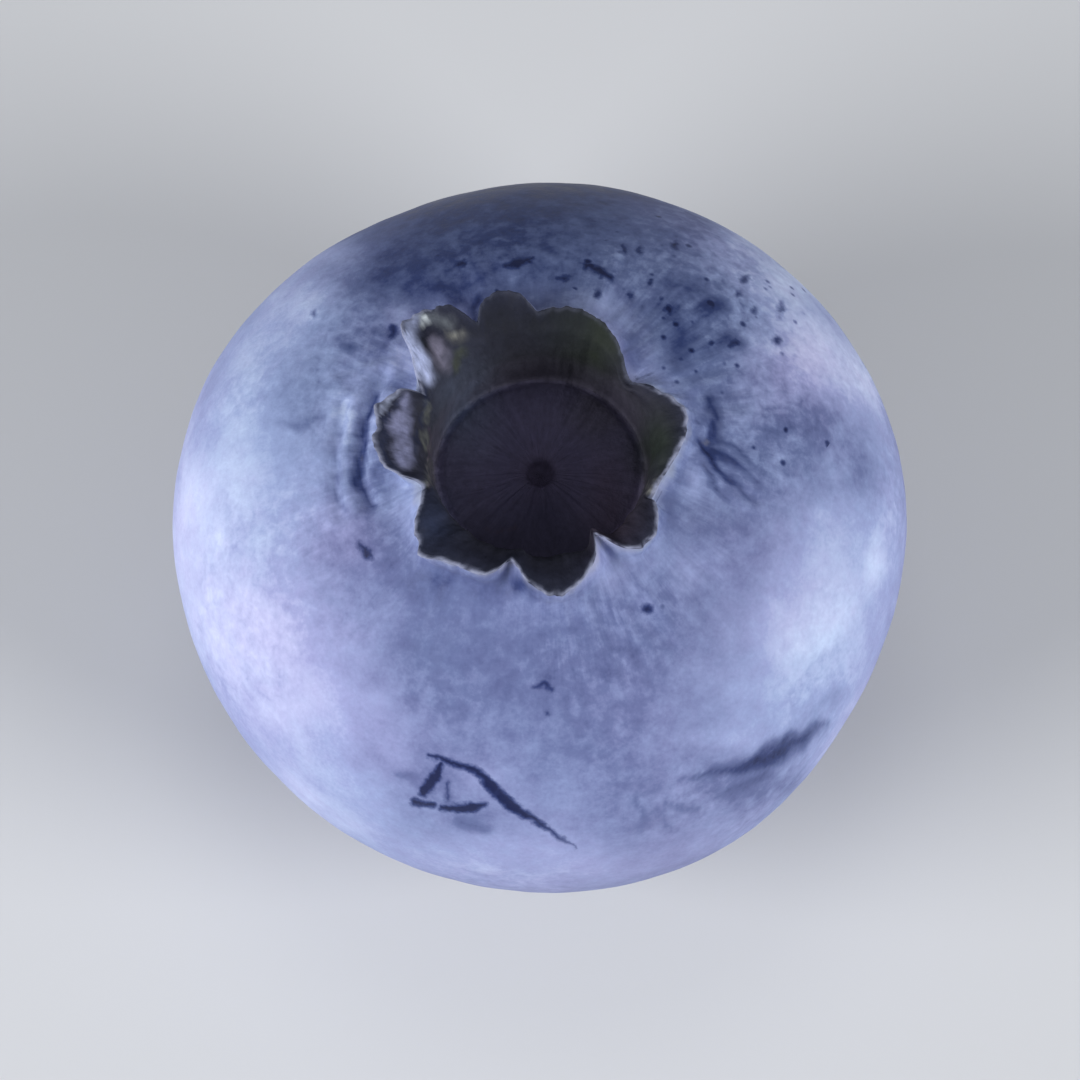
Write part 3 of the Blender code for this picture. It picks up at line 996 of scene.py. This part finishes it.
def putNode(tree, kind, sockets=None, **settings):
    node = tree.nodes.new("ShaderNode" + kind)
    for name, value in settings.items():
        setattr(node, name, value)
    fillIn(tree, node, sockets or {})
    return node


def workOut(tree, operation, *values, clamp=False):
    return putNode(tree, "Math", dict(enumerate(values)), operation=operation, use_clamp=clamp).outputs[0]


def addedUp(tree, total, *parts):
    # the total, with each part times its share
    for part, share in parts:
        total = workOut(tree, "MULTIPLY_ADD", part, share, total)
    return total


def vectorWork(tree, operation, *values):
    node = putNode(tree, "VectorMath", dict(enumerate(values)), operation=operation)
    return node.outputs["Value" if operation in ("DISTANCE", "DOT_PRODUCT") else "Vector"]


def scaled(tree, vector, share):
    return putNode(tree, "VectorMath", {0: vector, "Scale": share}, operation="SCALE").outputs["Vector"]


def joined(tree, operation, values):
    return reduce(lambda total, value: workOut(tree, operation, total, value), values)


def product(tree, *values):
    return joined(tree, "MULTIPLY", values)


def between(tree, value, low, high, newLow=0.0, newHigh=1.0):
    # a soft step from newLow to newHigh as the value goes from low to high
    links = {"Value": value, "From Min": low, "From Max": high, "To Min": newLow, "To Max": newHigh}
    return putNode(tree, "MapRange", links, interpolation_type="SMOOTHSTEP").outputs["Result"]


def blend(tree, share, first, second):
    # a colour mixed from two, each an output or three numbers
    links = {0: share}
    for number, colour in ((6, first), (7, second)):
        links[number] = colour if isinstance(colour, bpy.types.NodeSocket) else (*colour, 1.0)
    return putNode(tree, "Mix", links, data_type="RGBA").outputs[2]


def colourRamp(tree, value, colours):
    node = putNode(tree, "ValToRGB", {"Fac": value})
    stops = node.color_ramp.elements
    while len(stops) < len(colours):
        stops.new(0.5)
    for stop, (position, colour) in zip(stops, colours):
        stop.position = position
        stop.color = (*colour, 1.0)
    return node.outputs["Color"]


def surfaceValue(tree, name):
    return putNode(tree, "Attribute", attribute_name=name).outputs["Fac"]


def noiseNode(tree, place, size, detail=3, roughness=0.6, distortion=0.0):
    links = {"Vector": place, "Scale": 1 / size, "Detail": detail, "Roughness": roughness}
    return putNode(tree, "TexNoise", {**links, "Distortion": distortion})


def mottle(tree, place, size, **settings):
    # noise from about -1 to 1, in blotches of this many mm
    return addedUp(tree, -1.0, (noiseNode(tree, place, size, **settings).outputs["Fac"], 2.0))


def lineAway(tree, place, line):
    # how far a place is outside a line of changing width, below 0 within it
    if len(line) == 1:
        right, up, half = line[0]
        return workOut(tree, "SUBTRACT", vectorWork(tree, "DISTANCE", place, (right, up, 0)), half)
    aways = []
    for (x0, y0, half0), (x1, y1, half1) in zip(line, line[1:]):
        along = Vector((x1 - x0, y1 - y0, 0))
        offset = vectorWork(tree, "SUBTRACT", place, (x0, y0, 0))
        share = vectorWork(tree, "DOT_PRODUCT", offset, along / along.length_squared)
        share = putNode(tree, "Clamp", {"Value": share}).outputs["Result"]
        fromMiddle = vectorWork(tree, "DISTANCE", offset, scaled(tree, along, share))
        half = addedUp(tree, half0, (share, half1 - half0))
        aways.append(workOut(tree, "SUBTRACT", fromMiddle, half))
    return joined(tree, "MINIMUM", aways)


def onLines(tree, place, soft, lines):
    # 1 on the lines, 0 away from them
    nearest = joined(tree, "MINIMUM", [lineAway(tree, place, line) for line in lines])
    return between(tree, nearest, -soft, soft, 1.0, 0.0)


def allMarks(tree, place, groups):
    shares = [product(tree, onLines(tree, place, soft, lines), amount) for amount, soft, *lines in groups]
    return joined(tree, "MAXIMUM", shares)


def shakenPlace(tree, place, size, amount):
    # the place as seen, shaken a little so that marks get uneven edges
    parts = zip("XYZ", ("seenRight", "seenUp", "hidden"))
    seen = putNode(tree, "CombineXYZ", {axis: surfaceValue(tree, name) for axis, name in parts}).outputs[0]
    colour = noiseNode(tree, place, size).outputs["Color"]
    middled = vectorWork(tree, "SUBTRACT", colour, (0.5, 0.5, 0.5))
    flat = vectorWork(tree, "MULTIPLY", middled, (2 * amount, 2 * amount, 0))
    return vectorWork(tree, "ADD", seen, flat)


def newMaterial(name):
    # a material, its shader and the place on the berry, in mm
    material = bpy.data.materials.new(name)
    material.use_nodes = True
    tree = material.node_tree
    place = scaled(tree, putNode(tree, "TexCoord").outputs["Object"], 1 / mm)
    return material, tree, tree.nodes["Principled BSDF"], place


def spokesOut(tree, place, fine, lengthwise):
    # noise in streaks out from the axis: how fine they are round it and lengthwise
    spoke = vectorWork(tree, "NORMALIZE", vectorWork(tree, "MULTIPLY", place, (1, 1, 0)))
    rising = product(tree, surfaceValue(tree, "fromEdge"), lengthwise)
    shift = putNode(tree, "CombineXYZ", {"Z": rising}).outputs[0]
    streaked = vectorWork(tree, "MULTIPLY_ADD", spoke, (fine, fine, fine), shift)
    return mottle(tree, streaked, 1.0)


def bump(tree, *raised):
    # each part raises the surface by its share, in mm
    sockets = {"Height": addedUp(tree, 0.0, *raised), "Distance": mm, "Strength": 1.0}
    return putNode(tree, "Bump", sockets).outputs["Normal"]


def bloomedSkin():
    material, tree, shader, place = newMaterial("bloomed skin")
    patchy = mottle(tree, place, 2.2, detail=5, distortion=0.4)
    mottled = mottle(tree, place, 0.55, detail=4)
    grain = mottle(tree, place, 0.12)
    streaks = spokesOut(tree, place, 24, 0.8)
    nearCrown = between(tree, surfaceValue(tree, "fromEdge"), *skinFinish["streaksFrom"])
    streaks = product(tree, streaks, nearCrown, between(tree, patchy, -0.5, 0.4))

    # rubs, scratches and specks take the bloom off
    scratched = allMarks(tree, shakenPlace(tree, place, 0.3, 0.13), marks)
    scratched = product(tree, scratched, between(tree, mottled, -0.9, 0.2, 0.5, 1.1))
    scuffed = mottle(tree, place, 0.32, roughness=0.5, distortion=0.3)
    uneven = addedUp(tree, 1.0, (scuffed, 0.6), (mottled, 0.6))
    rubbed = product(tree, surfaceValue(tree, "rubbed"), uneven)
    spread = {"Vector": place, "Scale": 1 / skinFinish["speckSpacing"], "Randomness": 1.0}
    cells = putNode(tree, "TexVoronoi", spread)
    chosen = putNode(tree, "SeparateColor", {"Color": cells.outputs["Color"]})
    here = workOut(tree, "LESS_THAN", chosen.outputs[0], surfaceValue(tree, "specks"))
    ragged = addedUp(tree, cells.outputs["Distance"], (mottled, 0.16), (chosen.outputs[1], 0.14))
    speck = product(tree, here, between(tree, ragged, 0.06, 0.36, skinFinish["speckBare"], 0.0))

    laid = surfaceValue(tree, "bloom")
    worn = between(tree, laid, 0.75, 0.2, *skinFinish["mottled"])
    scuffing = addedUp(tree, 0.0, (scuffed, skinFinish["scuffGrain"]), (streaks, skinFinish["scuffStreaks"]))
    thick = addedUp(tree, laid, (patchy, skinFinish["patchy"]), (mottled, worn))
    thick = addedUp(tree, thick, (grain, skinFinish["grain"]), (scuffing, surfaceValue(tree, "scuffed")))
    thick = addedUp(tree, thick, (streaks, skinFinish["streaks"]))
    thick = workOut(tree, "SUBTRACT", thick, workOut(tree, "MAXIMUM", scratched, rubbed))
    thick = workOut(tree, "SUBTRACT", thick, speck, clamp=True)
    skin = colourRamp(tree, thick, skinFinish["bloomColours"])
    skin = blend(tree, surfaceValue(tree, "papery"), skin, skinFinish["papery"])
    hue = addedUp(tree, surfaceValue(tree, "hue"), (mottled, 0.5))
    tinted = blend(tree, between(tree, hue, -0.9, 0.9), skinFinish["lilac"], skinFinish["cool"])
    skin = vectorWork(tree, "MULTIPLY", skin, tinted)
    rough = between(tree, thick, 0.1, 0.6, skinFinish["bareRoughness"], skinFinish["bloomRoughness"])
    rough = addedUp(tree, rough, (grain, 0.05))
    raised = bump(tree, (mottled, 0.009), (grain, 0.004))
    fillIn(tree, shader, {"Base Color": skin, "Roughness": rough, "Normal": raised, **skinFinish["shader"]})
    return material


def dryInside():
    # the crown's inside and the scar: their colours, with streaks and grain
    material, tree, shader, place = newMaterial("dry inside")
    streaks = spokesOut(tree, place, 9, 1.4)
    grain = mottle(tree, place, 0.16, detail=4, roughness=0.65)
    shade = addedUp(tree, 1.0, (streaks, dryFinish["streaks"]), (grain, dryFinish["grain"]))
    paint = putNode(tree, "Attribute", attribute_name="paint").outputs["Color"]
    paint = scaled(tree, paint, shade)
    rough = addedUp(tree, dryFinish["roughness"], (grain, 0.12))
    raised = bump(tree, (streaks, 0.02), (grain, 0.012))
    fillIn(tree, shader, {"Base Color": paint, "Roughness": rough, "Normal": raised, **dryFinish["shader"]})
    return material


berry.data.materials.append(bloomedSkin())
berry.data.materials.append(dryInside())
dryRings = np.zeros(len(berry.data.polygons), dtype=np.int32)
dryRings[: scarRingCount * sides] = 1
dryRings[edgeRing * sides :] = 1
berry.data.polygons.foreach_set("material_index", dryRings)
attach(berry, "root")
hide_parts("blueberry")
print("finish: bloomed skin and dry inside")


# studio

studio = {
    "floorWidth": 12000.0,
    "floor": {"Base Color": (0.6, 0.61, 0.63, 1.0), "Roughness": 0.8},
    "world": {"Color": (0.8, 0.84, 0.92, 1.0), "Strength": 0.24},
}

# where each lamp stands, as its turn from +X and its height in degrees, its distance, width and watts
lamps = {
    "lowLeft": (203, 26, 260.0, 170.0, 0.7),
    "lowRight": (-25, 28, 260.0, 150.0, 0.56),
    "high": (95, 70, 350.0, 140.0, 0.08),
}


def buildFloor():
    half = studio["floorWidth"] / 2 * mm
    corners = [(-half, -half, 0), (half, -half, 0), (half, half, 0), (-half, half, 0)]
    data = bpy.data.meshes.new("floor")
    data.from_pydata(corners, [], [(0, 1, 2, 3)])
    floor = addObject("floor", data)
    material = bpy.data.materials.new("pale floor")
    material.use_nodes = True
    tree = material.node_tree
    fillIn(tree, tree.nodes["Principled BSDF"], studio["floor"])
    data.materials.append(material)


def buildLamps():
    target = Vector(camera["lookAt"]) * mm
    for name, (turn, rise, distance, width, watts) in lamps.items():
        data = bpy.data.lights.new(name, "AREA")
        data.shape = "DISK"
        data.size = width * mm
        data.energy = watts
        lamp = addObject(name, data)
        away = Vector(direction(turn, rise))
        lamp.location = target + away * distance * mm
        lamp.rotation_euler = (-away).to_track_quat("-Z", "Y").to_euler()
    world = bpy.data.worlds.new("studio")
    world.use_nodes = True
    fillIn(world.node_tree, world.node_tree.nodes["Background"], studio["world"])
    bpy.context.scene.world = world


def buildCamera():
    data = bpy.data.cameras.new("camera")
    data.sensor_width = 36
    data.lens = data.sensor_width * camera["distance"] / camera["frameWidth"]
    data.clip_start = 10 * mm
    eye = addObject("camera", data)
    back = Vector(direction(-90, camera["elevation"]))
    eye.location = (Vector(camera["lookAt"]) + back * camera["distance"]) * mm
    eye.rotation_euler = (-back).to_track_quat("-Z", "Y").to_euler()
    bpy.context.scene.camera = eye


buildFloor()
buildLamps()
buildCamera()
bpy.context.scene.view_settings.view_transform = "Standard"
print("studio: floor, lamps and camera")
